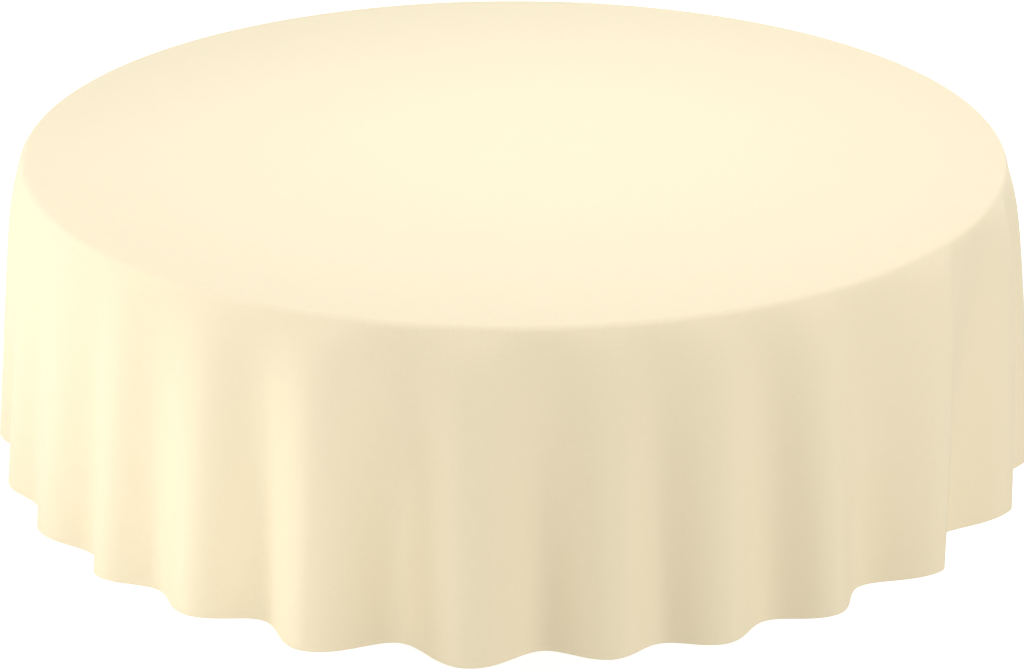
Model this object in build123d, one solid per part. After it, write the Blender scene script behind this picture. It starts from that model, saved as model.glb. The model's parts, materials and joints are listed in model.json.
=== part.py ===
from build123d import *
import math
import os

# Round tablecloth on a round banquet table: a loose plywood top carried by a folding cross
# stand. Two steel frames cross on a vertical pivot, and the top and the cloth lift off.
# Millimetres, +Z up, origin on the floor under the centre of the table.

# Driving dimensions
table_height = 740.0
top_diameter = 1524.0
cloth_cut_diameter = 2438.4

# Plywood top and its edge moulding
panel_thickness = 19.0
moulding_bulge = 6.0
tongue_depth = 10.0
tongue_thickness = 2.6
groove_depth = 11.0
groove_height = 2.8
ring_width = 62.0
ring_thickness = 12.0
ring_setback = 4.0

# Cross stand of square tube
tube = 30.0
tube_wall = 2.0
stand_radius = 365.0
outer_azimuth = 45.0
inner_azimuth = 135.0
cap_thickness = 5.0
outer_top_rail_drop = 10.0
outer_bottom_rail_z = 120.0
gusset_leg = 50.0
gusset_thickness = 3.0
plug_clearance = 0.2
plug_length = 25.0

# Pivots, stop and running gaps
bolt_radius = 5.0
bolt_hole_radius = 5.25
bush_radius = 7.0
bush_bore_radius = 5.05
running_gap = 0.3
spacer_thickness = 1.7
spacer_radius = 14.0
washer_thickness = 2.0
washer_radius = 10.5
hex_across_flats = 17.0
bolt_head_height = 6.4
nut_height = 10.0
bolt_overhang = 4.0
stop_plate_side = 100.0
stop_plate_thickness = 4.0
stop_pin_radius = 4.0
stop_pin_height = 22.0
stop_pin_reach = 38.0

# Levelling feet
pad_radius = 19.0
pad_height = 8.0
pad_rounding = 2.0
stud_seat = 4.0
collar_height = 5.0
stud_length = 38.0
insert_flange = 4.0
insert_length = 30.0
upright_bottom = 20.0

# Sockets under the top that locate the outer frame
socket_play = 1.5
socket_wall = 4.0
socket_bottom = 708.0
tab_length = 22.0
tab_thickness = 3.0
screw_radius = 1.9
screw_depth = 12.0
screw_head_radius = 4.0
screw_head_height = 2.5
screw_spread = 12.0

# Cloth
cloth_thickness = 1.5
cloth_gap = 0.5
rim_bend_radius = 11.0
rim_bend_setback = 8.0
bend_angle = 60.0
flare_radius = 220.0
hang_lean = 7.4
hem_width = 6.0
hem_take_up = 8.0
hem_extra = 0.6
thread_thickness = 0.5
thread_width = 0.8
thread_height = 4.5

# Worked out from the above
cloth_radius = cloth_cut_diameter / 2 - hem_take_up
panel_bottom = table_height - panel_thickness
panel_radius = top_diameter / 2 - moulding_bulge
panel_middle = panel_bottom + panel_thickness / 2
tube_top = panel_bottom - cap_thickness
outer_top_rail_z = tube_top - outer_top_rail_drop - tube
inner_top_rail_z = outer_top_rail_z - spacer_thickness - running_gap - tube
stop_plate_z = outer_bottom_rail_z + tube
inner_bottom_rail_z = stop_plate_z + stop_plate_thickness + spacer_thickness + running_gap
rail_half = stand_radius - tube / 2
bore_side = tube - 2 * tube_wall

on_floor = (Align.CENTER, Align.CENTER, Align.MIN)
made = {}


def at(shape, x=0.0, y=0.0, z=0.0):
    """The shape moved to a place."""
    return Pos(x, y, z) * shape


def turned(shape, azimuth):
    """The shape turned about the table's vertical axis."""
    return Rot(0, 0, azimuth) * shape


def disc(radius, height, z=0.0, x=0.0, y=0.0):
    return at(Cylinder(radius, height, align=on_floor), x, y, z)


def block(length, width, height, z=0.0, x=0.0, y=0.0):
    return at(Box(length, width, height, align=on_floor), x, y, z)


def hexagon(height, z=0.0, x=0.0, y=0.0):
    side = RegularPolygon(hex_across_flats / 2, 6, major_radius=False)
    return at(extrude(side, height), x, y, z)


def polar(radius, azimuth):
    angle = math.radians(azimuth)
    return radius * math.cos(angle), radius * math.sin(angle)


# Stand: each frame is drawn along X, then turned to its azimuth


def upright(side):
    """Square tube standing at one end of a frame."""
    height = tube_top - upright_bottom
    outside = block(tube, tube, height, upright_bottom, side * stand_radius)
    return outside - block(bore_side, bore_side, height, upright_bottom, side * stand_radius)


def rail(z, hole_radius):
    """Square tube between the uprights, with the pivot hole through both of its walls."""
    outside = block(2 * rail_half, tube, tube, z)
    bore = block(2 * rail_half, bore_side, bore_side, z + tube_wall)
    return outside - bore - disc(hole_radius, tube, z)


def gussets(top_rail_z, bottom_rail_z):
    """Four triangular plates in the corners of a frame."""
    plates = []
    for side in (-1, 1):
        for corner_z, up in ((top_rail_z, -1), (bottom_rail_z + tube, 1)):
            corner = (side * rail_half, corner_z)
            along = (side * (rail_half - gusset_leg), corner_z)
            upward = (side * rail_half, corner_z + up * gusset_leg)
            face = Plane.XZ * make_face(Polyline(corner, along, upward, close=True))
            plates.append(extrude(face, gusset_thickness / 2, both=True))
    return Compound(plates)


def top_cap(side, lowered):
    """Plastic plug with a thick flange, closing an upright's top and carrying the table top."""
    plug_side = bore_side - 2 * plug_clearance
    flange = block(tube, tube, cap_thickness - lowered, tube_top, side * stand_radius)
    flange = fillet(flange.edges().filter_by(Axis.Z), 3)
    plug = block(plug_side, plug_side, plug_length, tube_top - plug_length, side * stand_radius)
    hollow = block(plug_side - 6, plug_side - 6, plug_length - 3, tube_top - plug_length, side * stand_radius)
    return flange + plug - hollow


def foot_insert(side):
    """Plastic plug in an upright's foot, bored for the levelling stud."""
    plug_side = bore_side - 2 * plug_clearance
    x = side * stand_radius
    flange = block(tube, tube, insert_flange, upright_bottom - insert_flange, x)
    flange = fillet(flange.edges().filter_by(Axis.Z), 3)
    plug = block(plug_side, plug_side, insert_length, upright_bottom, x)
    bore = disc(bush_bore_radius, insert_length + insert_flange, upright_bottom - insert_flange, x)
    return flange + plug - bore


def leveller_pad(side):
    """Round plastic foot with a socket for the stud."""
    foot = disc(pad_radius, pad_height, 0, side * stand_radius)
    foot = fillet(foot.edges().group_by(Axis.Z)[-1], pad_rounding)
    return foot - disc(bush_bore_radius, pad_height - stud_seat, stud_seat, side * stand_radius)


def leveller_stud(side):
    """Threaded stud, drawn plain, with the hexagon that a spanner turns."""
    x = side * stand_radius
    return disc(bolt_radius, stud_length, stud_seat, x) + hexagon(collar_height, pad_height, x)


def frame(name, azimuth, top_rail_z, bottom_rail_z, hole_radius, lowered):
    """Every piece of one frame, with its levelling feet."""
    made[f"{name}_top_rail"] = turned(rail(top_rail_z, hole_radius), azimuth)
    made[f"{name}_bottom_rail"] = turned(rail(bottom_rail_z, hole_radius), azimuth)
    made[f"{name}_corner_gussets"] = turned(gussets(top_rail_z, bottom_rail_z), azimuth)
    for end, side in (("a", 1), ("b", -1)):
        made[f"{name}_upright_{end}"] = turned(upright(side), azimuth)
        made[f"{name}_top_cap_{end}"] = turned(top_cap(side, lowered), azimuth)
        made[f"{name}_foot_insert_{end}"] = turned(foot_insert(side), azimuth)
        made[f"{name}_leveller_pad_{end}"] = turned(leveller_pad(side), azimuth)
        made[f"{name}_leveller_stud_{end}"] = turned(leveller_stud(side), azimuth)


# Pivots


def washer(z, thickness=washer_thickness, radius=washer_radius):
    return disc(radius, thickness, z) - disc(bolt_hole_radius, thickness, z)


def nut(z):
    return hexagon(nut_height, z) - disc(bush_bore_radius, nut_height, z)


def bush(z):
    """Nylon sleeve in the inner rail, which turns on the bolt."""
    return disc(bush_radius - 0.02, tube, z) - disc(bush_bore_radius, tube, z)


def bolt(head_z, end_z):
    shank = disc(bolt_radius, head_z - end_z, end_z)
    return shank + hexagon(bolt_head_height, head_z)


def upper_pivot():
    head_washer_z = outer_top_rail_z + tube
    nut_washer_z = inner_top_rail_z - running_gap - washer_thickness
    nut_z = nut_washer_z - nut_height
    made["upper_pivot_bolt"] = bolt(head_washer_z + washer_thickness, nut_z - bolt_overhang)
    made["upper_head_washer"] = washer(head_washer_z)
    made["upper_spacer"] = washer(outer_top_rail_z - spacer_thickness, spacer_thickness, spacer_radius)
    made["upper_nut_washer"] = washer(nut_washer_z)
    made["upper_pivot_nut"] = nut(nut_z)
    made["upper_bush"] = bush(inner_top_rail_z)


def lower_pivot():
    head_washer_z = inner_bottom_rail_z + tube + running_gap
    nut_washer_z = outer_bottom_rail_z - washer_thickness
    nut_z = nut_washer_z - nut_height
    made["lower_pivot_bolt"] = bolt(head_washer_z + washer_thickness, nut_z - bolt_overhang)
    made["lower_head_washer"] = washer(head_washer_z)
    made["lower_spacer"] = washer(stop_plate_z + stop_plate_thickness, spacer_thickness, spacer_radius)
    made["lower_nut_washer"] = washer(nut_washer_z)
    made["lower_pivot_nut"] = nut(nut_z)
    made["lower_bush"] = bush(inner_bottom_rail_z)


def stops():
    """Plate welded on the outer frame, with the two pins that the open inner rail meets."""
    plate = block(stop_plate_side, stop_plate_side, stop_plate_thickness, stop_plate_z)
    plate -= disc(bolt_hole_radius, stop_plate_thickness, stop_plate_z)
    made["stop_plate"] = turned(plate, outer_azimuth)
    pin_offset = tube / 2 + running_gap + stop_pin_radius
    pin_z = stop_plate_z + stop_plate_thickness
    pins = [
        disc(stop_pin_radius, stop_pin_height, pin_z, -side * pin_offset, side * stop_pin_reach)
        for side in (1, -1)
    ]
    made["stop_pins"] = turned(Compound(pins), outer_azimuth)


# Table top


def screw_places():
    """Centres of the eight socket screws."""
    reach = tube / 2 + socket_play + socket_wall + tab_length / 2
    for side in (1, -1):
        for radial in (-reach, reach):
            for sideways in (-screw_spread, screw_spread):
                x = side * stand_radius + radial
                angle = math.radians(outer_azimuth)
                yield (
                    x * math.cos(angle) - sideways * math.sin(angle),
                    x * math.sin(angle) + sideways * math.cos(angle),
                )


def top_panel():
    """Plywood disc with the groove for the moulding's tongue and blind screw holes."""
    panel = disc(panel_radius, panel_thickness, panel_bottom)
    groove_z = panel_middle - groove_height / 2
    panel -= disc(panel_radius, groove_height, groove_z) - disc(
        panel_radius - groove_depth, groove_height, groove_z
    )
    for x, y in screw_places():
        panel -= disc(screw_radius + 0.05, screw_depth + 0.5, panel_bottom, x, y)
    return panel


def edge_moulding():
    """Vinyl T-moulding: a bulging face, and a tongue in the panel's groove."""
    half = panel_thickness / 2
    face = make_face(
        [
            ThreePointArc(
                (panel_radius, panel_middle - half),
                (panel_radius + moulding_bulge, panel_middle),
                (panel_radius, panel_middle + half),
            ),
            Line((panel_radius, panel_middle + half), (panel_radius, panel_middle - half)),
        ]
    )
    tongue = make_face(
        Polyline(
            (panel_radius - tongue_depth, panel_middle - tongue_thickness / 2),
            (panel_radius, panel_middle - tongue_thickness / 2),
            (panel_radius, panel_middle + tongue_thickness / 2),
            (panel_radius - tongue_depth, panel_middle + tongue_thickness / 2),
            close=True,
        )
    )
    bulging = revolve(Plane.XZ * face, Axis.Z)
    return bulging + revolve(Plane.XZ * tongue, Axis.Z)


def rim_ring():
    """Plywood ring glued under the edge, which keeps the top flat."""
    outer = panel_radius - ring_setback
    ring = disc(outer, ring_thickness, panel_bottom - ring_thickness)
    return ring - disc(outer - ring_width, ring_thickness, panel_bottom - ring_thickness)


def socket(side):
    """Moulded collar round an outer upright's top, with two screw tabs."""
    x = side * stand_radius
    cavity = tube + 2 * socket_play
    outside = cavity + 2 * socket_wall
    height = panel_bottom - socket_bottom
    collar = block(outside, outside, height, socket_bottom, x)
    tabs = block(outside + 2 * tab_length, outside, tab_thickness, panel_bottom - tab_thickness, x)
    tabs = fillet(tabs.edges().filter_by(Axis.Z), 8)
    return collar + tabs - block(cavity, cavity, height, socket_bottom, x)


def sockets():
    hole = screw_radius + 0.3
    for end, side in (("a", 1), ("b", -1)):
        piece = turned(socket(side), outer_azimuth)
        for x, y in screw_places():
            piece -= disc(hole, tab_thickness, panel_bottom - tab_thickness, x, y)
        made[f"locating_socket_{end}"] = piece


def socket_screws():
    head_z = panel_bottom - tab_thickness - screw_head_height
    shank_length = tab_thickness + screw_depth
    screws = []
    for x, y in screw_places():
        head = disc(screw_head_radius, screw_head_height, head_z, x, y)
        head = fillet(head.edges().group_by(Axis.Z)[0], 1)
        screws.append(head + disc(screw_radius, shank_length, head_z + screw_head_height, x, y))
    return Compound(screws)


# Cloth: a round sheet. Its section bends over the rim, flares, then hangs straight down a steep cone


def along(angle, distance):
    """Step down the section, where it slopes by an angle below level."""
    return Vector(math.cos(angle), -math.sin(angle)) * distance


def outward(angle, distance):
    """Step square to the section, away from the table."""
    return Vector(math.sin(angle), math.cos(angle)) * distance


def cloth_section(offset):
    """Points of the section line, offset outwards from the cloth's inside, from axis to edge."""
    bend_end = math.radians(bend_angle)
    hang = math.radians(90 - hang_lean)
    bend_centre = Vector(
        top_diameter / 2 - rim_bend_setback, table_height + cloth_gap - rim_bend_radius
    )
    flare_centre = bend_centre + outward(bend_end, rim_bend_radius - flare_radius)
    centre_radius = top_diameter / 2 - rim_bend_setback
    used = centre_radius + rim_bend_radius * bend_end + flare_radius * (hang - bend_end)
    bend = rim_bend_radius + offset
    flare = flare_radius + offset
    flare_end = flare_centre + outward(hang, flare)
    return {
        "axis": Vector(0, bend_centre.Y + bend),
        "bend_start": bend_centre + outward(0, bend),
        "bend_middle": bend_centre + outward(bend_end / 2, bend),
        "bend_end": bend_centre + outward(bend_end, bend),
        "flare_middle": flare_centre + outward((bend_end + hang) / 2, flare),
        "flare_end": flare_end,
        "hem_top": flare_end + along(hang, cloth_radius - used - hem_width),
        "edge": flare_end + along(hang, cloth_radius - used),
    }


def section_lines(section):
    """The section from the axis to the top of the hem."""
    return [
        Line(section["axis"], section["bend_start"]),
        ThreePointArc(section["bend_start"], section["bend_middle"], section["bend_end"]),
        ThreePointArc(section["bend_end"], section["flare_middle"], section["flare_end"]),
        Line(section["flare_end"], section["hem_top"]),
    ]


def band(inner_offset, outer_offset, above_edge, width):
    """Conical band in the slope of the hanging cloth."""
    hang = math.radians(90 - hang_lean)
    corners = [
        cloth_section(offset)["edge"] + along(hang, -distance)
        for offset, distance in (
            (inner_offset, above_edge),
            (outer_offset, above_edge),
            (outer_offset, above_edge + width),
            (inner_offset, above_edge + width),
        )
    ]
    return revolve(Plane.XZ * make_face(Polyline(*corners, close=True)), Axis.Z)


def cloth():
    inside = cloth_section(0)
    outside = cloth_section(cloth_thickness)
    outline = section_lines(inside) + section_lines(outside)
    outline += [
        Line(inside["axis"], outside["axis"]),
        Line(inside["hem_top"], outside["hem_top"]),
    ]
    hem_face = cloth_thickness + hem_extra
    made["tablecloth"] = revolve(Plane.XZ * make_face(outline), Axis.Z)
    made["hem"] = band(-hem_extra, hem_face, 0, hem_width)
    made["hem_stitching"] = band(hem_face, hem_face + thread_thickness, thread_height, thread_width)
    print("edge", round(inside["edge"].Y, 1), "above the floor, radius", round(outside["edge"].X, 1))


frame("outer", outer_azimuth, outer_top_rail_z, outer_bottom_rail_z, bolt_hole_radius, 0)
frame("inner", inner_azimuth, inner_top_rail_z, inner_bottom_rail_z, bush_radius, running_gap)
upper_pivot()
lower_pivot()
stops()
made["top_panel"] = top_panel()
made["edge_moulding"] = edge_moulding()
made["rim_ring"] = rim_ring()
sockets()
made["socket_screws"] = socket_screws()
cloth()

os.makedirs("parts", exist_ok=True)
for name, shape in made.items():
    export_step(shape, f"parts/{name}.step")
print(len(made), "nodes")
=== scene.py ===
import json
import math

import bpy
import numpy as np
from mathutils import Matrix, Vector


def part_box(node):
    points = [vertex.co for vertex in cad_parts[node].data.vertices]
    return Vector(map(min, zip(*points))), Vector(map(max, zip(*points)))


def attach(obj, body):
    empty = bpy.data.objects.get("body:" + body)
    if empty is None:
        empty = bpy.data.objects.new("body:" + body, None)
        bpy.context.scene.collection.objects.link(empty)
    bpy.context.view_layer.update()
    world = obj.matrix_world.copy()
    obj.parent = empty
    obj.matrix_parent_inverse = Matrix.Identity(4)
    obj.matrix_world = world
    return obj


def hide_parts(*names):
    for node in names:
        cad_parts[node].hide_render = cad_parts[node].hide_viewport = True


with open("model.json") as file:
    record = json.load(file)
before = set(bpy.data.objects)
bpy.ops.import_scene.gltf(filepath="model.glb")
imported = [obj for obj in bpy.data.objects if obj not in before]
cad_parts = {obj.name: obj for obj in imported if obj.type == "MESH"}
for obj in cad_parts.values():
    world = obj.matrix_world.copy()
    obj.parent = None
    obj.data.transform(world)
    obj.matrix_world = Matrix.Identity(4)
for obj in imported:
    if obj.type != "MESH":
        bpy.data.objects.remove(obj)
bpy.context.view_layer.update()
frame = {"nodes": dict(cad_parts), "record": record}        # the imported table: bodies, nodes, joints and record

scene = bpy.context.scene
millimetre = 0.001
nodeBody = {node: body for body, nodes in frame["record"]["behaviour"]["bodies"].items() for node in nodes}

# floor, lamps and camera

studio = {
    "floorColour": "#F6F6F5",
    "floorGlow": 0.70,           # the floor is a lit white panel, so shadows on it stay faint
    "floorProfile": [(30, 0), (35, 0.4), (38, 1.6), (39.6, 4), (40, 8), (40, 30)],   # metres out and up
    "floorSides": 64,
    "floorDrop": 0.5 * millimetre,   # below the feet, so that no two faces share a plane
    "lampAim": (0, 0, 0.5),
    "worldStrength": 0.49,
    "worldTint": (1.0, 0.99, 0.955, 1),
    "overheadTint": (0.97, 0.99, 1.05),
    "lamps": {                   # place in metres, disk size in metres, watts
        "overhead": ((0, 0, 2.4), 1.2, 15.2),
        "low_left": ((-1.835, -0.492, 0.85), 0.6, 8.4),
        "low_front_left": ((-1.344, -1.344, 0.85), 0.6, 3.0),
        "low_front": ((-0.675, -1.169, 0.42), 0.5, 0.85),
        "softbox_right": ((4.33, -2.5, 2.5), 2.4, 44),
        "softbox_front_right": ((2.5, -4.33, 2.5), 2.4, 55),
        "softbox_behind_right": ((2.5, 4.33, 2.5), 2.4, 53),
    },
}

view = {
    "rimSeen": 0.7589,           # radius of the cloth's outline as seen over the rounded rim, in metres
    "distance": 4.2826,          # from the table's axis, in those radii
    "height": 1.4659,            # above the cloth's top, in those radii
    "pitch": 24.202,
    "focal": 2.1143,             # in picture widths
    "shift": (-0.00108, -0.00381),
}


def toLinear(hexColour):
    # an sRGB hex colour as linear RGBA: the low end is a straight line, the rest a power of 2.4
    channels = np.array([int(hexColour[i:i + 2], 16) for i in (1, 3, 5)]) / 255
    straight = channels / 12.92
    curved = ((channels + 0.055) / 1.055) ** 2.4
    return (*np.where(channels <= 0.04045, straight, curved).tolist(), 1.0)


def addNode(tree, kind, inputs=None, feeds=None, **settings):
    # one node with its settings; each input is a value or another node's output, and feeds is a socket
    # that its result goes to
    node = tree.nodes.new(kind)
    for name, value in settings.items():
        setattr(node, name, value)
    for key, value in (inputs or {}).items():
        if isinstance(value, bpy.types.NodeSocket):
            tree.links.new(value, node.inputs[key])
        else:
            node.inputs[key].default_value = value
    if feeds:
        tree.links.new(next(socket for socket in node.outputs if socket.enabled), feeds)
    return node


def newMaterial(name, **surface):
    # a Principled material with its plain values set on the shader's own sockets
    material = bpy.data.materials.new(name)
    material.use_nodes = True
    shader = material.node_tree.nodes["Principled BSDF"]
    for key, value in surface.items():
        shader.inputs[key.replace("_", " ")].default_value = value
    return material, material.node_tree, shader


def cloudy(tree, place, size, low=0.0, high=1.0, detail=3.0):
    # soft patches about size (x, y, z) in metres, from 0 to 1 as the noise goes from low to high
    scale = tuple(1 / s for s in size)
    stretched = addNode(tree, "ShaderNodeMapping", {"Vector": place, "Scale": scale}).outputs[0]
    noise = addNode(tree, "ShaderNodeTexNoise", {"Vector": stretched, "Scale": 1.0, "Detail": detail})
    return addNode(tree, "ShaderNodeMapRange",
                   {"Value": noise.outputs["Fac"], "From Min": low, "From Max": high}).outputs[0]


def waving(tree, value, period, low=-1.0, high=1.0):
    # a sine wave of value with this period, between low and high
    angle = addNode(tree, "ShaderNodeMath", {0: value, 1: 2 * math.pi / period}, operation="MULTIPLY")
    wave = addNode(tree, "ShaderNodeMath", {0: angle.outputs[0]}, operation="SINE").outputs[0]
    return addNode(tree, "ShaderNodeMapRange",
                   {"Value": wave, "From Min": -1.0, "To Min": low, "To Max": high}).outputs[0]


def colourAndRelief(tree, shader, tone, colours, height, strength, depth):
    # the base colour runs between two hex colours with tone, and height raises the surface by up to depth
    low, high = [toLinear(colour) for colour in colours]
    mix = addNode(tree, "ShaderNodeMix", {"Factor": tone, "A": low, "B": high}, data_type="RGBA")
    bump = addNode(tree, "ShaderNodeBump", {"Height": height, "Strength": strength, "Distance": depth})
    tree.links.new(mix.outputs["Result"], shader.inputs["Base Color"])
    tree.links.new(bump.outputs["Normal"], shader.inputs["Normal"])
    return mix.outputs["Result"]


def meshFrom(name, points, faces, material, ownMap=None, mapName="flatCloth", smooth=True):
    # points is N x 3 and faces a list of index tuples; ownMap gives each point its place on the piece's map
    mesh = bpy.data.meshes.new(name)
    mesh.from_pydata(points.tolist(), [], faces)
    mesh.polygons.foreach_set("use_smooth", np.full(len(mesh.polygons), smooth))
    if ownMap is not None:
        corner = np.empty(len(mesh.loops), dtype=np.int32)
        mesh.loops.foreach_get("vertex_index", corner)
        layer = mesh.uv_layers.new(name=mapName)
        layer.uv.foreach_set("vector", ownMap[corner].astype(np.float32).ravel())
    mesh.materials.append(material)
    mesh.update()
    piece = bpy.data.objects.new(name, mesh)
    scene.collection.objects.link(piece)
    return piece


def gridFaces(rows, columns, wrapRows=False, wrapColumns=False):
    # quads between neighbouring rows and columns of a grid, joined round where it wraps
    index = np.arange(rows * columns).reshape(rows, columns)
    if wrapColumns:
        index = np.concatenate([index, index[:, :1]], axis=1)
    if wrapRows:
        index = np.concatenate([index, index[:1]], axis=0)
    quads = np.stack([index[:-1, :-1], index[1:, :-1], index[1:, 1:], index[:-1, 1:]], axis=-1)
    return quads.reshape(-1, 4).tolist()


def makeStudio():
    # a round white floor whose edge sweeps up into a wall: one ring of points for each (radius, height)
    material, tree, shader = newMaterial("white_acrylic_lit_floor", Roughness=0.9)
    shader.inputs["Base Color"].default_value = toLinear(studio["floorColour"])
    shader.inputs["Emission Color"].default_value = (1, 1, 1, 1)
    shader.inputs["Emission Strength"].default_value = studio["floorGlow"]
    sides = studio["floorSides"]
    ring = np.linspace(0, 2 * math.pi, sides + 1)[:-1]
    reach, rise = np.array(studio["floorProfile"]).T
    points = np.stack([np.outer(reach, np.cos(ring)), np.outer(reach, np.sin(ring)),
                       np.repeat(rise[:, None], sides, axis=1) - studio["floorDrop"]], axis=-1)
    sweep = gridFaces(len(reach), sides, wrapColumns=True)
    floor = meshFrom("studio_floor", points.reshape(-1, 3), [list(range(sides))] + sweep, material)
    floor.visible_diffuse = False     # the white panel is seen, but throws no light up under the cloth
    world = bpy.data.worlds.new("soft studio")
    scene.world = world
    world.use_nodes = True
    world.node_tree.nodes["Background"].inputs["Color"].default_value = studio["worldTint"]
    world.node_tree.nodes["Background"].inputs["Strength"].default_value = studio["worldStrength"]
    for name, (place, size, power) in studio["lamps"].items():
        light = bpy.data.lights.new(name, "AREA")
        light.shape = "DISK"
        light.size = size
        light.energy = power
        light.color = studio["overheadTint"] if name == "overhead" else (1, 1, 1)
        lamp = bpy.data.objects.new(name, light)
        lamp.location = place
        lamp.visible_camera = False
        towards = Vector(studio["lampAim"]) - Vector(place)
        lamp.rotation_euler = towards.to_track_quat("-Z", "Y").to_euler()
        scene.collection.objects.link(lamp)
    scene.view_settings.view_transform = "Standard"


def makeCamera():
    # in front of the table, looking down by the pitch, at a place counted in radii of the cloth's outline
    lens = bpy.data.cameras.new("camera")
    lens.lens = lens.sensor_width * view["focal"]
    lens.shift_x, lens.shift_y = view["shift"]
    camera = bpy.data.objects.new("camera", lens)
    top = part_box("tablecloth")[1].z
    camera.location = (0, -view["distance"] * view["rimSeen"], top + view["height"] * view["rimSeen"])
    camera.rotation_euler = (math.radians(90 - view["pitch"]), 0, 0)
    scene.collection.objects.link(camera)
    scene.camera = camera


makeStudio()
makeCamera()
print("studio and camera made")

# the cloth: its folds, fabric and sheet

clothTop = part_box("tablecloth")[1].z
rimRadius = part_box("edge_moulding")[1].x

cloth = {
    "cutDiameter": 2.4384,            # 96 in round
    "turned": 8 * millimetre,         # taken up all round by the hem's double fold
    "thickness": 0.8 * millimetre,
    "setIn": 0.6 * millimetre,        # outer face inside the design's cloth solid
    "rimSetback": 8 * millimetre,     # the bend starts this far inside the rim
    "rimBend": 11.9 * millimetre,
    "bendAngle": 60.0,
    "hangLean": 7.4,                  # mean slope off plumb, degrees
    "flareFade": 36 * millimetre,     # how fast the flare under the rim turns to that slope
    "growth": 0.68,                   # folds deepen with this power of the drop
    "onset": 0.04,                    # and start within this share of it
    "topRows": [0.02, 0.06, 0.14, 0.26, 0.4, 0.54, 0.66, 0.73],
    "bendSpan": 12.6 * millimetre,    # a little more than the bend, finely divided
    "bendRows": 9,
    "skirtRows": 40,
    "skirtPacking": 1.35,             # more rows near the rim
    "lastRow": 0.8 * millimetre,      # keeps the raw edge's shading off the skirt
    "columns": 800,
    "lengthSteps": 1600,              # from the centre to the edge, for adding up the drop
    "colours": ("#F2E4C3", "#F7E9C8"),
}
clothEdge = cloth["cutDiameter"] / 2 - cloth["turned"]

# fold lines by azimuth from the front towards +X: degrees, and mm that the hem reaches past the rim
foldLines = [
    (-95.0, 44), (-89.3, 72), (-83.5, 45), (-77.5, 73), (-72.0, 45), (-64.6, 81), (-59.8, 60), (-53.3, 91),
    (-47.0, 59), (-42.4, 98), (-37.0, 60), (-31.3, 97), (-24.9, 48), (-18.5, 116), (-10.9, 43), (-3.9, 115),
    (2.9, 50), (8.8, 92), (13.9, 56), (19.4, 92), (24.9, 50), (31.0, 93), (36.8, 44), (44.3, 103), (46.4, 48),
    (50.6, 34), (59.2, 96), (61.4, 54), (65.4, 46), (71.8, 82), (77.5, 46), (83.6, 70), (89.5, 44),
]


backFolds = {
    "count": 26,                      # even, so that crests and troughs go on alternating
    "seed": 7,
    "unevenness": 0.22,               # of the spacing
    "crest": (72, 98),                # least and most reach, mm
    "trough": (42, 58),
}

# the folds at the right lean: azimuth at the hem, and how many degrees further round they start at the rim
foldLean = ([36, 44.5, 59.5, 96], [0, 6.5, 9.5, 0])


def allFoldLines():
    # the folds round the back go on like the front ones, with seeded differences
    draw = np.random.default_rng(backFolds["seed"])
    first, last = foldLines[0][0] + 360, foldLines[-1][0]
    count, uneven = backFolds["count"], backFolds["unevenness"]
    spacing = (first - last) / count
    azimuth = last + spacing * (np.arange(1, count) + draw.uniform(-uneven, uneven, count - 1))
    isCrest = np.arange(count - 1) % 2 == 0
    crests = draw.uniform(*backFolds["crest"], count - 1)
    troughs = draw.uniform(*backFolds["trough"], count - 1)
    reach = np.where(isCrest, crests, troughs)
    lines = np.concatenate([np.array(foldLines), np.stack([azimuth, reach], axis=1)])
    return lines[:, 0], lines[:, 1] * millimetre


def hemReach(azimuth):
    # between one fold line and the next, half a cosine wave from one reach to the other
    lineAzimuth, lineReach = allFoldLines()
    lineAzimuth = np.append(lineAzimuth, lineAzimuth[0] + 360)
    lineReach = np.append(lineReach, lineReach[0])
    turned = (azimuth - lineAzimuth[0]) % 360 + lineAzimuth[0]
    before = np.clip(np.searchsorted(lineAzimuth, turned, side="right") - 1, 0, len(lineAzimuth) - 2)
    share = (turned - lineAzimuth[before]) / (lineAzimuth[before + 1] - lineAzimuth[before])
    wave = (1 - np.cos(np.pi * share)) / 2
    return lineReach[before] + (lineReach[before + 1] - lineReach[before]) * wave


def leaning(run, azimuth):
    # each column's azimuth in radians, moved round by its lean at the rim and by less further down
    signed = (azimuth + 180) % 360 - 180
    left = 1 - np.clip((run - rimRadius) / (clothEdge - rimRadius), 0, 1)
    return np.radians(azimuth[None, :] + left[:, None] * np.interp(signed, *foldLean)[None, :])


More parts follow.
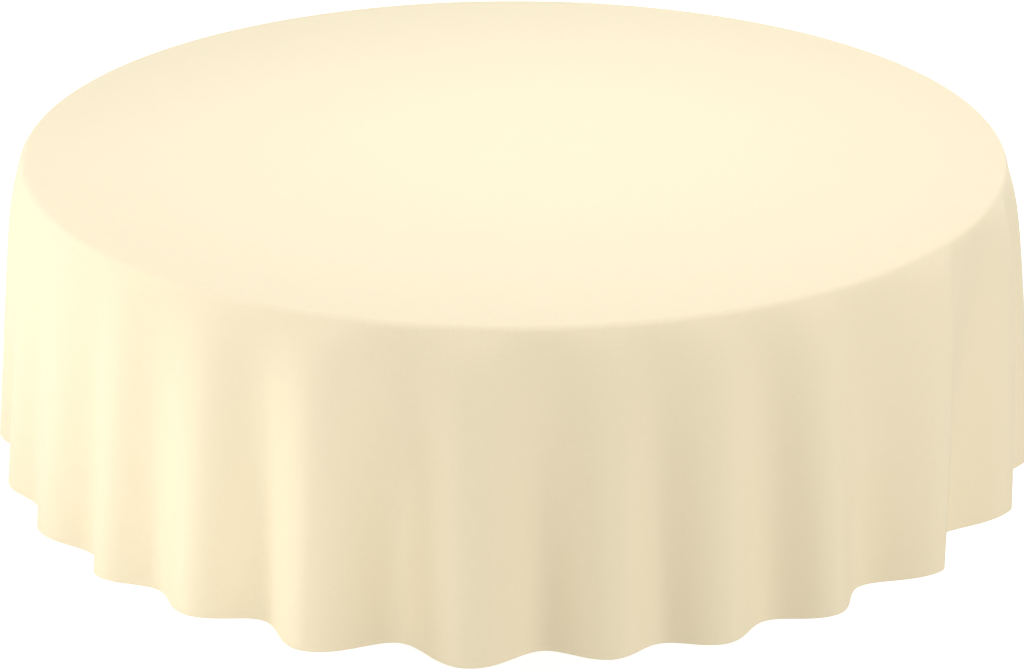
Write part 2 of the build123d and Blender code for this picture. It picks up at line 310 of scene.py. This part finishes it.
def drapedCloth(run, azimuth):
    # run is the distance from the centre along the cloth, azimuth the column's direction in degrees.
    # Flat to the rim bend, a circular arc over it, then a slope that fades from the bend's to a steep
    # cone. The folds add hemReach times a power of the share of the drop, and the height is what the
    # length leaves.
    bendStart = rimRadius - cloth["rimSetback"]
    bendEnd = bendStart + cloth["rimBend"] * math.radians(cloth["bendAngle"])
    steps = np.linspace(0, clothEdge, cloth["lengthSteps"])
    step = steps[1]
    lean = math.sin(math.radians(cloth["hangLean"]))
    bent = np.cos(np.clip((steps - bendStart) / cloth["rimBend"], 0, math.radians(cloth["bendAngle"])))
    faded = lean + (bent - lean) * np.exp(-np.clip(steps - bendEnd, 0, None) / cloth["flareFade"])
    meanRadius = np.concatenate([[0], np.cumsum((faded[1:] + faded[:-1]) / 2) * step])
    share = np.clip((steps - bendEnd) / (clothEdge - bendEnd), 0, 1)
    depth = share ** cloth["growth"] * (1 - np.exp(-share / cloth["onset"]))
    meanReach = meanRadius[-1] - rimRadius
    radius = meanRadius[:, None] + depth[:, None] * (hemReach(azimuth) - meanReach)[None, :]
    slope = np.gradient(radius, step, axis=0)
    fall = np.sqrt(np.clip(1 - slope ** 2, 0, 1))
    drop = np.concatenate([np.zeros((1, len(azimuth))), np.cumsum((fall[1:] + fall[:-1]) / 2, axis=0) * step])
    nearest = np.clip(run / step, 0, len(steps) - 1.001)
    low = nearest.astype(int)
    part = (nearest - low)[:, None]
    ring = radius[low] * (1 - part) + radius[low + 1] * part
    height = clothTop - cloth["setIn"] - (drop[low] * (1 - part) + drop[low + 1] * part)
    turn = leaning(run, azimuth)
    return np.stack([ring * np.sin(turn), -ring * np.cos(turn), height], axis=-1)


def flatPlace(run, azimuth):
    # where a point lay on the flat cloth, in metres
    turn = leaning(run, azimuth)
    return np.stack([run[:, None] * np.sin(turn), -run[:, None] * np.cos(turn)], axis=-1)


def clothMaterial(name, colours):
    # ivory spun polyester, plain woven: matt, with a soft sheen at grazing angles, faint slubs along
    # both thread directions, and a weave drawn at twice its 0.45 mm spacing so that it shows close by
    material, tree, shader = newMaterial(
        name, Roughness=0.85, IOR=1.5, Sheen_Weight=0.2, Sheen_Roughness=0.4, Sheen_Tint=toLinear("#FFFBF0"))
    place = addNode(tree, "ShaderNodeUVMap", uv_map="flatCloth").outputs["UV"]
    slubLength, slubWidth, threadPair = 25 * millimetre, 0.7 * millimetre, 1.8 * millimetre
    alongX = cloudy(tree, place, (slubLength, slubWidth, 1), 0.3, 0.7, 2.0)
    alongY = cloudy(tree, place, (slubWidth, slubLength, 1), 0.3, 0.7, 2.0)
    slub = addNode(tree, "ShaderNodeMath", {0: alongX, 1: alongY}, operation="MULTIPLY").outputs[0]
    parts = addNode(tree, "ShaderNodeSeparateXYZ", {"Vector": place}).outputs
    weave = addNode(tree, "ShaderNodeMath",
                    {0: waving(tree, parts["X"], threadPair), 1: waving(tree, parts["Y"], threadPair)},
                    operation="MULTIPLY").outputs[0]
    colourAndRelief(tree, shader, slub, colours, weave, 0.25, 0.1 * millimetre)
    return material


def makeCloth():
    # drapedCloth on a polar grid: rows at chosen distances from the centre, even columns round it, and a
    # fan of triangles at the centre. The raw edge ends inside the turned hem.
    bendStart = rimRadius - cloth["rimSetback"]
    skirtStart = bendStart + cloth["bendSpan"]
    rawEdge = clothEdge - hem["width"] * hem["covers"]
    skirt = np.linspace(0, 1, cloth["skirtRows"] + 1)[1:] ** cloth["skirtPacking"]
    run = np.concatenate([
        cloth["topRows"],
        bendStart + np.linspace(0, 1, cloth["bendRows"]) * cloth["bendSpan"],
        skirtStart + (rawEdge - cloth["lastRow"] - skirtStart) * skirt,
        [rawEdge],
    ])
    azimuth = np.arange(cloth["columns"]) * 360 / cloth["columns"]
    points = drapedCloth(run, azimuth)
    flat = flatPlace(run, azimuth)
    rows, columns = points.shape[:2]
    centre = np.array([[0, 0, points[0, 0, 2]]])
    faces = gridFaces(rows, columns, wrapColumns=True)
    ring = np.arange(columns)
    fan = np.stack([ring, np.roll(ring, -1), np.full(columns, rows * columns)], axis=1)
    everyPoint = np.concatenate([points.reshape(-1, 3), centre])
    everyFlat = np.concatenate([flat.reshape(-1, 2), [[0, 0]]])
    piece = meshFrom("draped_tablecloth", everyPoint, faces + fan.tolist(), clothFabric, everyFlat)
    wall = piece.modifiers.new("cloth thickness", "SOLIDIFY")
    wall.thickness = cloth["thickness"]
    wall.offset = -1
    return piece


# the turned hem and its line of stitches

hem = {
    "width": 6 * millimetre,
    "layers": 1.9 * millimetre,       # the fold's thickness
    "proud": 0.05 * millimetre,       # outer face beyond the cloth's
    "covers": 0.8,                    # share of the width that the cloth's edge goes into
    "topRounding": 0.86,              # thickness left at the fold's top corners
    "foldPoints": 7,
}

stitch = {
    "above": 4.4 * millimetre,        # from the hem's edge
    "pitch": 3.2 * millimetre,
    "length": 2.5 * millimetre,
    "width": 0.45 * millimetre,
    "height": 0.22 * millimetre,
    "lifted": 0.2,                    # share of its height that its middle stands off the hem
    "sides": 6,
    "samplesPerHem": 5760,            # places where the hem's length is measured
    "colours": ("#EEDFBC", "#F8EBCB"),
}


def edgeFrames(above, azimuth):
    # points on the cloth so far above its edge, with unit vectors round the hem, down the cloth and
    # outwards, from differences between neighbouring columns and neighbouring rows
    reach = 1.5 * millimetre
    rows = drapedCloth(clothEdge - above + reach * np.array([-1, 0, 1]), azimuth)
    around = np.roll(rows[1], -1, axis=0) - np.roll(rows[1], 1, axis=0)
    down = rows[2] - rows[0]
    outward = np.cross(down, around)
    unit = [v / np.linalg.norm(v, axis=1, keepdims=True) for v in (around, down, outward)]
    return rows[1], *unit


def makeHem():
    # a flat loop profile with a rounded lower fold, carried round the cloth's edge: each profile point
    # is so far up the cloth and so far out from it
    azimuth = np.arange(cloth["columns"]) * 360 / cloth["columns"]
    middle, around, down, outward = edgeFrames(hem["width"] / 2, azimuth)
    half = hem["layers"] / 2
    fold = np.linspace(-math.pi / 2, math.pi / 2, hem["foldPoints"])
    side = hem["width"] * np.array([1, 0.96, 0.5])
    thickness = half * np.array([hem["topRounding"], 1, 1])
    up = np.concatenate([side, half - half * np.cos(fold), side[::-1]])
    out = np.concatenate([thickness, -half * np.sin(fold), -thickness[::-1]])
    out = out + hem["proud"] - half
    climb = (up - hem["width"] / 2)[:, None, None]
    points = middle[None] - down[None] * climb + outward[None] * out[:, None, None]
    flat = flatPlace(clothEdge - up, azimuth)
    faces = gridFaces(len(up), len(azimuth), wrapRows=True, wrapColumns=True)
    return meshFrom("turned_hem", points.reshape(-1, 3), faces, clothFabric, flat.reshape(-1, 2))


def threadMaterial(name, colours):
    # spun polyester sewing thread: matt, with the twist of its plies as slanting ridges, and painted shade that
    # colours the grooves between them darker than the crests
    material, tree, shader = newMaterial(name, Roughness=0.7, IOR=1.5, Sheen_Weight=0.3, Sheen_Roughness=0.4)
    place = addNode(tree, "ShaderNodeUVMap", uv_map="alongStitch").outputs["UV"]
    parts = addNode(tree, "ShaderNodeSeparateXYZ", {"Vector": place}).outputs
    twist = 0.5 * millimetre
    slanted = addNode(tree, "ShaderNodeMath", {0: parts["Y"], 1: twist / (2 * math.pi), 2: parts["X"]},
                      operation="MULTIPLY_ADD").outputs[0]
    twistRidgeAndGrooveShade = waving(tree, slanted, twist, 0.0, 1.0)
    # the ridge sets the colour as well as the relief: painted shade, darker in the grooves and lighter on the
    # crests
    colourAndRelief(tree, shader, twistRidgeAndGrooveShade, colours, twistRidgeAndGrooveShade, 0.5, 0.05 * millimetre)
    return material


def makeStitches():
    # one small six-sided spindle per stitch, pitch apart along the hem's own length: the cross-section
    # is an ellipse that swells from the ends with the fourth root of 1 - t squared
    samples = stitch["samplesPerHem"]
    frames = edgeFrames(stitch["above"], np.arange(samples) * 360 / samples)
    gaps = np.linalg.norm(np.roll(frames[0], -1, axis=0) - frames[0], axis=1)
    length = np.concatenate([[0], np.cumsum(gaps)])
    count = round(length[-1] / stitch["pitch"])
    at = np.arange(count) * length[-1] / count
    closed = [np.concatenate([v, v[:1]]) for v in frames]
    middle, around, down, outward = [
        np.stack([np.interp(at, length, v[:, axis]) for axis in range(3)], axis=1) for v in closed]
    along = np.array([-0.88, -0.35, 0.35, 0.88])
    swell = (1 - along ** 2) ** 0.25
    sides = stitch["sides"]
    turn = np.arange(sides) * 2 * math.pi / sides
    across = stitch["width"] / 2 * swell[:, None] * np.cos(turn)
    lift = stitch["height"] / 2 * swell[:, None] * np.sin(turn)
    shift = np.broadcast_to((along * stitch["length"] / 2)[:, None], across.shape)
    tips = np.array([[-stitch["length"] / 2, 0, 0], [stitch["length"] / 2, 0, 0]])
    local = np.concatenate([np.stack([shift, across, lift], axis=-1).reshape(-1, 3), tips])
    axes = np.stack([around, down, outward], axis=1)
    base = middle + outward * (hem["proud"] + stitch["height"] * stitch["lifted"])
    points = base[:, None] + local[None] @ axes
    ring = np.arange(sides)
    nextRing = np.roll(ring, -1)
    lastRing = (len(along) - 1) * sides
    firstTip = len(along) * sides
    body = np.array(gridFaces(len(along), sides, wrapColumns=True))
    ends = np.concatenate([
        np.stack([ring, nextRing, np.full(sides, firstTip)], axis=1),
        np.stack([nextRing + lastRing, ring + lastRing, np.full(sides, firstTip + 1)], axis=1)])
    offset = (np.arange(count) * len(local))[:, None, None]
    faces = (body[None] + offset).reshape(-1, 4).tolist() + (ends[None] + offset).reshape(-1, 3).tolist()
    allTurns = np.append(np.tile(turn, len(along)), [0, 0])
    ownMap = np.tile(np.stack([local[:, 0], allTurns], axis=1), (count, 1))
    return meshFrom("hem_lockstitches", points.reshape(-1, 3), faces, sewingThread, ownMap, "alongStitch")


clothFabric = clothMaterial("ivory_spun_polyester_plain_weave", cloth["colours"])
sewingThread = threadMaterial("ivory_spun_polyester_thread", stitch["colours"])
tablecloth = makeCloth()
turnedHem = makeHem()
stitches = makeStitches()
for piece, node in ((tablecloth, "tablecloth"), (turnedHem, "hem"), (stitches, "hem_stitching")):
    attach(piece, "cloth")
    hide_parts(node)
print("tablecloth draped, hemmed and stitched")

# steel hardware: threaded studs, bolts and nuts, and the frames' welds

hardware = {
    "threadPitch": 1.5 * millimetre,
    "threadDepth": 0.92 * millimetre,
    "majorRadius": 4.95 * millimetre,
    "acrossFlats": 17 * millimetre,
    "faceShare": 0.96,                # end face of a hexagon, as a share of its width
    "sides": 48,
    "collar": (4 * millimetre, 9 * millimetre),   # the stud's hexagon, above its lower end
    "seatRadius": 4.1 * millimetre,   # the stud's plain end, in the pad
    "studTip": 0.9,                   # of that radius
    "headHeight": 6.4 * millimetre,
    "boltTip": 0.78,                  # of the major radius
    "tipLength": 0.1 * millimetre,
    "runOut": 0.2 * millimetre,       # between thread and shank
    "threadPastNut": 3 * millimetre,
    "nutClearance": 0.1 * millimetre,
    "nutChamfer": 0.5 * millimetre,
}
directions = np.arange(hardware["sides"]) * 2 * math.pi / hardware["sides"]

weld = {
    "radius": 2.3 * millimetre,
    "ripple": 2.4 * millimetre,       # spacing along the bead
    "rippleShare": 0.13,
    "tubeCorner": 2 * millimetre,
    "sunk": 0.2 * millimetre,         # into the upright
    "flatness": 0.8,
    "sides": 8,
    "cornerPoints": 5,
    "sidePoints": 34,
    "diagonals": {"outer": 45.0, "inner": 135.0},   # each frame's direction, degrees
}


def threadRows(low, high):
    # a helical V: the radius falls by a triangle wave of height less the share of a turn, and the upper
    # end tapers in over one pitch
    heights = np.arange(low, high, hardware["threadPitch"] / 6)
    phase = heights[:, None] / hardware["threadPitch"] - directions[None, :] / (2 * math.pi)
    triangle = np.abs(2 * (phase % 1) - 1)
    taper = np.clip((high - heights) / hardware["threadPitch"], 0, 1)[:, None]
    radius = hardware["majorRadius"] - hardware["threadDepth"] * (1 - triangle)
    return heights, np.minimum(radius, hardware["majorRadius"] - hardware["threadDepth"] * (1 - taper))


def hexRows(low, high):
    # a hexagon with corners on the X axis, whose corners are turned off at both ends by a 30 degree cone
    flat = hardware["acrossFlats"] / 2
    sector = math.pi / 3
    sideRadius = flat / np.cos(directions % sector - sector / 2)
    face = flat * hardware["faceShare"]
    corner = flat / math.cos(math.pi / 6)
    chamfer = (corner - face) * math.tan(math.pi / 6)
    share = np.array([0, 0.5, 1])
    heights = np.concatenate([low + chamfer * share, high - chamfer * share[::-1]])
    cone = face + (corner - face) * np.concatenate([share, share[::-1]])
    return heights, np.minimum(sideRadius[None, :], cone[:, None])


def plainRows(heights, radii):
    # round rows
    return np.array(heights), np.array(radii)[:, None] * np.ones((1, hardware["sides"]))


def turnedSolid(name, centre, sections, hollow=False):
    # rows of (height, radius in each direction) about a vertical axis, with a pole point at each end,
    # or for a hollow solid with the last row joined to the first
    heights = np.concatenate([s[0] for s in sections])
    radius = np.concatenate([s[1] for s in sections])
    points = np.stack([centre[0] + radius * np.cos(directions), centre[1] + radius * np.sin(directions),
                       np.broadcast_to(heights[:, None], radius.shape)], axis=-1).reshape(-1, 3)
    rows, columns = radius.shape
    faces = [face[::-1] for face in gridFaces(rows, columns, wrapRows=hollow, wrapColumns=True)]
    if not hollow:
        ring = np.arange(columns)
        nextRing = np.roll(ring, -1)
        last = (rows - 1) * columns
        poles = [[centre[0], centre[1], heights[0]], [centre[0], centre[1], heights[-1]]]
        points = np.concatenate([points, poles])
        firstPole = np.full(columns, rows * columns)
        faces += np.stack([nextRing, ring, firstPole], axis=1).tolist()
        faces += np.stack([ring + last, nextRing + last, firstPole + 1], axis=1).tolist()
    return meshFrom(name, points, faces, zincSteel, smooth=False)


def centreOf(node):
    # the middle of a node's box in plan, and its lowest and highest heights
    low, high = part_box(node)
    return ((low.x + high.x) / 2, (low.y + high.y) / 2), low.z, high.z


def makeStud(node):
    # a plain seat, a hexagonal collar and a threaded rod to the top
    centre, low, high = centreOf(node)
    collarLow, collarHigh = [low + height for height in hardware["collar"]]
    seat = hardware["seatRadius"]
    sections = [plainRows([low, collarLow], [seat, seat]), hexRows(collarLow, collarHigh),
                threadRows(collarHigh, high), plainRows([high], [seat * hardware["studTip"]])]
    return turnedSolid(node + "_threaded", centre, sections)


def makeBolt(node, nutNode):
    # hexagon head on top, a plain shank, and a thread through the nut to the end
    centre, low, high = centreOf(node)
    headLow = high - hardware["headHeight"]
    shank = hardware["majorRadius"]
    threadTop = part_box(nutNode)[1].z + hardware["threadPastNut"]
    heights, radius = threadRows(-threadTop, -low - hardware["tipLength"])
    thread = (-heights[::-1], radius[::-1])
    sections = [plainRows([low], [shank * hardware["boltTip"]]), thread,
                plainRows([threadTop + hardware["runOut"], headLow], [shank, shank]), hexRows(headLow, high)]
    return turnedSolid(node + "_hexagon_headed", centre, sections)


def makeNut(node):
    # a hexagon chamfered at both ends round a bore that clears the bolt's thread
    centre, low, high = centreOf(node)
    bore = hardware["majorRadius"] + hardware["nutClearance"]
    chamfer = hardware["nutChamfer"]
    sections = [hexRows(low, high),
                plainRows([high, high - chamfer, low + chamfer, low],
                          [bore + chamfer, bore, bore, bore + chamfer])]
    return turnedSolid(node + "_chamfered", centre, sections, hollow=True)


def squareLoop(half):
    # points round a square tube's section with rounded corners: one side and corner, turned four times
    corner = weld["tubeCorner"]
    quarter = np.linspace(0, math.pi / 2, weld["cornerPoints"])
    side = np.linspace(-1, 1, weld["sidePoints"] + 2)[1:-1] * (half - corner)
    straight = np.stack([np.full(len(side), half), side], axis=1)
    rounded = half - corner + corner * np.stack([np.cos(quarter), np.sin(quarter)], axis=1)
    oneSide = np.concatenate([straight, rounded])
    spins = np.arange(4) * math.pi / 2
    turns = np.array([[np.cos(spins), np.sin(spins)], [-np.sin(spins), np.cos(spins)]]).transpose(2, 0, 1)
    return (oneSide[None] @ turns).reshape(-1, 2)


def makeWelds(name):
    # a rippled bead round each end of both rails, where it meets the upright: a small circle carried
    # round the tube's section, its radius waving with the distance along
    diagonal = math.radians(weld["diagonals"][name])
    along = np.array([math.cos(diagonal), math.sin(diagonal), 0])
    across = np.array([-math.sin(diagonal), math.cos(diagonal), 0])
    upward = np.array([0, 0, 1])
    section = np.arange(weld["sides"]) * 2 * math.pi / weld["sides"]
    points, faces = [], []
    for rail in ("top", "bottom"):
        low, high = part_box(f"{name}_{rail}_rail")
        half = (high.z - low.z) / 2
        railHalf = high.x * math.sqrt(2) - half
        middle = (high.z + low.z) / 2
        loop = squareLoop(half)
        distance = np.cumsum(np.linalg.norm(loop - np.roll(loop, 1, axis=0), axis=1))
        ripple = 1 + weld["rippleShare"] * np.cos(2 * math.pi * distance / weld["ripple"])
        outward = loop / np.linalg.norm(loop, axis=1, keepdims=True)
        radius = weld["radius"] * ripple[:, None]
        inward = railHalf - weld["sunk"] - radius * np.cos(section) * weld["flatness"]
        spread = loop[:, None] + outward[:, None] * (radius * np.sin(section))[..., None]
        grid = np.array(gridFaces(len(loop), len(section), wrapRows=True, wrapColumns=True))
        for end in (-1, 1):
            ring = (inward[..., None] * end * along + spread[..., :1] * across
                    + (spread[..., 1:] + middle) * upward)
            faces.append((grid if end > 0 else grid[:, ::-1]) + sum(len(p) for p in points))
            points.append(ring.reshape(-1, 3))
    allFaces = np.concatenate(faces).tolist()
    return meshFrom(name + "_frame_weld_beads", np.concatenate(points), allFaces, powderCoat)


def zincMaterial():
    # bright zinc-plated steel: a cool metal with a faint blue and straw passivation, slightly clouded
    material, tree, shader = newMaterial("zinc_plated_steel_passivated", Metallic=1.0)
    place = addNode(tree, "ShaderNodeTexCoord").outputs["Object"]
    cloud = cloudy(tree, place, (6 * millimetre,) * 3, 0.35, 0.65)
    grain = cloudy(tree, place, (0.4 * millimetre,) * 3, 0.3, 0.7)
    addNode(tree, "ShaderNodeMapRange", {"Value": grain, "To Min": 0.26, "To Max": 0.42},
            feeds=shader.inputs["Roughness"])
    colourAndRelief(tree, shader, cloud, ("#C3C8D0", "#D6D3C8"), grain, 0.15, 0.01 * millimetre)
    return material


def powderMaterial():
    # satin black polyester powder coat on steel tube: orange peel about 1.5 mm across, with faint
    # dusty patches that turn it a little greyer and duller
    material, tree, shader = newMaterial("satin_black_powder_coat", IOR=1.5)
    place = addNode(tree, "ShaderNodeTexCoord").outputs["Object"]
    dust = cloudy(tree, place, (60 * millimetre,) * 3, 0.45, 0.75, 6.0)
    addNode(tree, "ShaderNodeMapRange", {"Value": dust, "To Min": 0.38, "To Max": 0.55},
            feeds=shader.inputs["Roughness"])
    peel = cloudy(tree, place, (1.5 * millimetre,) * 3, detail=1.0)
    colourAndRelief(tree, shader, dust, ("#1D1D1F", "#2B2B2C"), peel, 0.35, 0.08 * millimetre)
    return material


def plywoodMaterial():
    # sanded and lacquered birch plywood: rotary-cut grain along X on its faces, short dark pores, and
    # 1.45 mm plies of alternate grain on its edges
    material, tree, shader = newMaterial(
        "sanded_lacquered_birch_plywood", Roughness=0.42, IOR=1.5, Coat_Weight=0.25, Coat_Roughness=0.3)
    coordinates = addNode(tree, "ShaderNodeTexCoord").outputs
    place = coordinates["Object"]
    figureLength, figureWidth, ringSpacing = 0.6, 0.05, 0.105
    poreLength, poreWidth, plyPair = 12 * millimetre, 0.5 * millimetre, 2.9 * millimetre
    bands = waving(tree, cloudy(tree, place, (figureLength, figureWidth, 1)), ringSpacing, 0.0, 0.6)
    pores = cloudy(tree, place, (poreLength, poreWidth, 1), 0.5, 0.8, 2.0)
    dark = addNode(tree, "ShaderNodeMath", {0: pores, 1: 0.7, 2: bands}, operation="MULTIPLY_ADD").outputs[0]
    face = colourAndRelief(tree, shader, dark, ("#DFC69B", "#C39F6C"), pores, 0.2, 0.03 * millimetre)
    height = addNode(tree, "ShaderNodeSeparateXYZ", {"Vector": place}).outputs["Z"]
    fuzz = cloudy(tree, place, (3 * millimetre, 3 * millimetre, 0.3 * millimetre), detail=2.0)
    ply = waving(tree, height, plyPair)
    plies = addNode(tree, "ShaderNodeMath", {0: ply, 1: fuzz}, operation="ADD").outputs[0]
    layered = addNode(tree, "ShaderNodeMapRange",
                      {"Value": plies, "From Min": 0.2, "From Max": 0.8}).outputs[0]
    edge = addNode(tree, "ShaderNodeMix",
                   {"Factor": layered, "A": toLinear("#B08954"), "B": toLinear("#DDC298")}, data_type="RGBA")
    facing = addNode(tree, "ShaderNodeSeparateXYZ", {"Vector": coordinates["Normal"]}).outputs["Z"]
    flatness = addNode(tree, "ShaderNodeMath", {0: facing}, operation="ABSOLUTE").outputs[0]
    onFace = addNode(tree, "ShaderNodeMath", {0: flatness, 1: 0.7}, operation="GREATER_THAN").outputs[0]
    addNode(tree, "ShaderNodeMix", {"Factor": onFace, "A": edge.outputs["Result"], "B": face},
            feeds=shader.inputs["Base Color"], data_type="RGBA")
    return material


def mouldedMaterial(name, colours, roughness, grain, depth, patch=(0.03, 0.03, 0.03)):
    # a moulded or extruded plastic or rubber: a fine eroded texture of one grain size, and slow
    # differences of tone where the melt flowed
    material, tree, shader = newMaterial(name, Roughness=roughness, IOR=1.5)
    place = addNode(tree, "ShaderNodeTexCoord").outputs["Object"]
    flow = cloudy(tree, place, patch, 0.3, 0.7)
    colourAndRelief(tree, shader, flow, colours, cloudy(tree, place, grain, detail=2.0), 0.4, depth)
    return material


zincSteel = zincMaterial()
powderCoat = powderMaterial()
birchPlywood = plywoodMaterial()
# caps, foot inserts and sockets: from a spark-eroded mould, so an even 0.35 mm grain, half matt
blackPolypropylene = mouldedMaterial(
    "black_polypropylene_spark_textured", ("#151515", "#1E1E1E"), 0.5,
    (0.35 * millimetre,) * 3, 0.04 * millimetre)
# bushes and spacers: undyed nylon, smooth from the mould and a little uneven in tone
whiteNylon = mouldedMaterial(
    "natural_nylon_moulded", ("#E9E5D8", "#DDD8C6"), 0.4, (1.2 * millimetre,) * 3, 0.02 * millimetre)
# foot pads: dense rubber, dull and faintly pitted
footRubber = mouldedMaterial(
    "black_rubber_compression_moulded", ("#1A1A1A", "#262523"), 0.8,
    (0.8 * millimetre,) * 3, 0.06 * millimetre)
# die lines run round the edge moulding, so its grain is short in height and long around
edgeVinyl = mouldedMaterial(
    "dark_brown_vinyl_extruded", ("#2C221B", "#382C24"), 0.45,
    (0.3, 0.3, 0.25 * millimetre), 0.03 * millimetre, (0.2, 0.2, 2 * millimetre))

slotFinishes = {
    "birch_plywood": birchPlywood, "edge_vinyl": edgeVinyl, "powder_coated_steel": powderCoat,
    "zinc_plated_steel": zincSteel, "black_polypropylene": blackPolypropylene,
    "white_nylon": whiteNylon, "foot_rubber": footRubber,
}


def finishNodes():
    # every design node that still shows takes the finish of its own slot
    for row in frame["record"]["subparts"]:
        finish = slotFinishes.get(row["material_slot"])
        if finish:
            mesh = frame["nodes"][row["node"]].data
            mesh.materials.clear()
            mesh.materials.append(finish)


finishNodes()
hardwarePieces = {
    "upper_pivot_bolt": makeBolt("upper_pivot_bolt", "upper_pivot_nut"),
    "lower_pivot_bolt": makeBolt("lower_pivot_bolt", "lower_pivot_nut"),
    "upper_pivot_nut": makeNut("upper_pivot_nut"),
    "lower_pivot_nut": makeNut("lower_pivot_nut"),
}
for frameName in ("outer", "inner"):
    for end in ("a", "b"):
        stud = f"{frameName}_leveller_stud_{end}"
        hardwarePieces[stud] = makeStud(stud)
    welds = makeWelds(frameName)
    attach(welds, frameName + "_frame")
for node, piece in hardwarePieces.items():
    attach(piece, nodeBody[node])
    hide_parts(node)
print("stand finished, hardware threaded and frames welded")
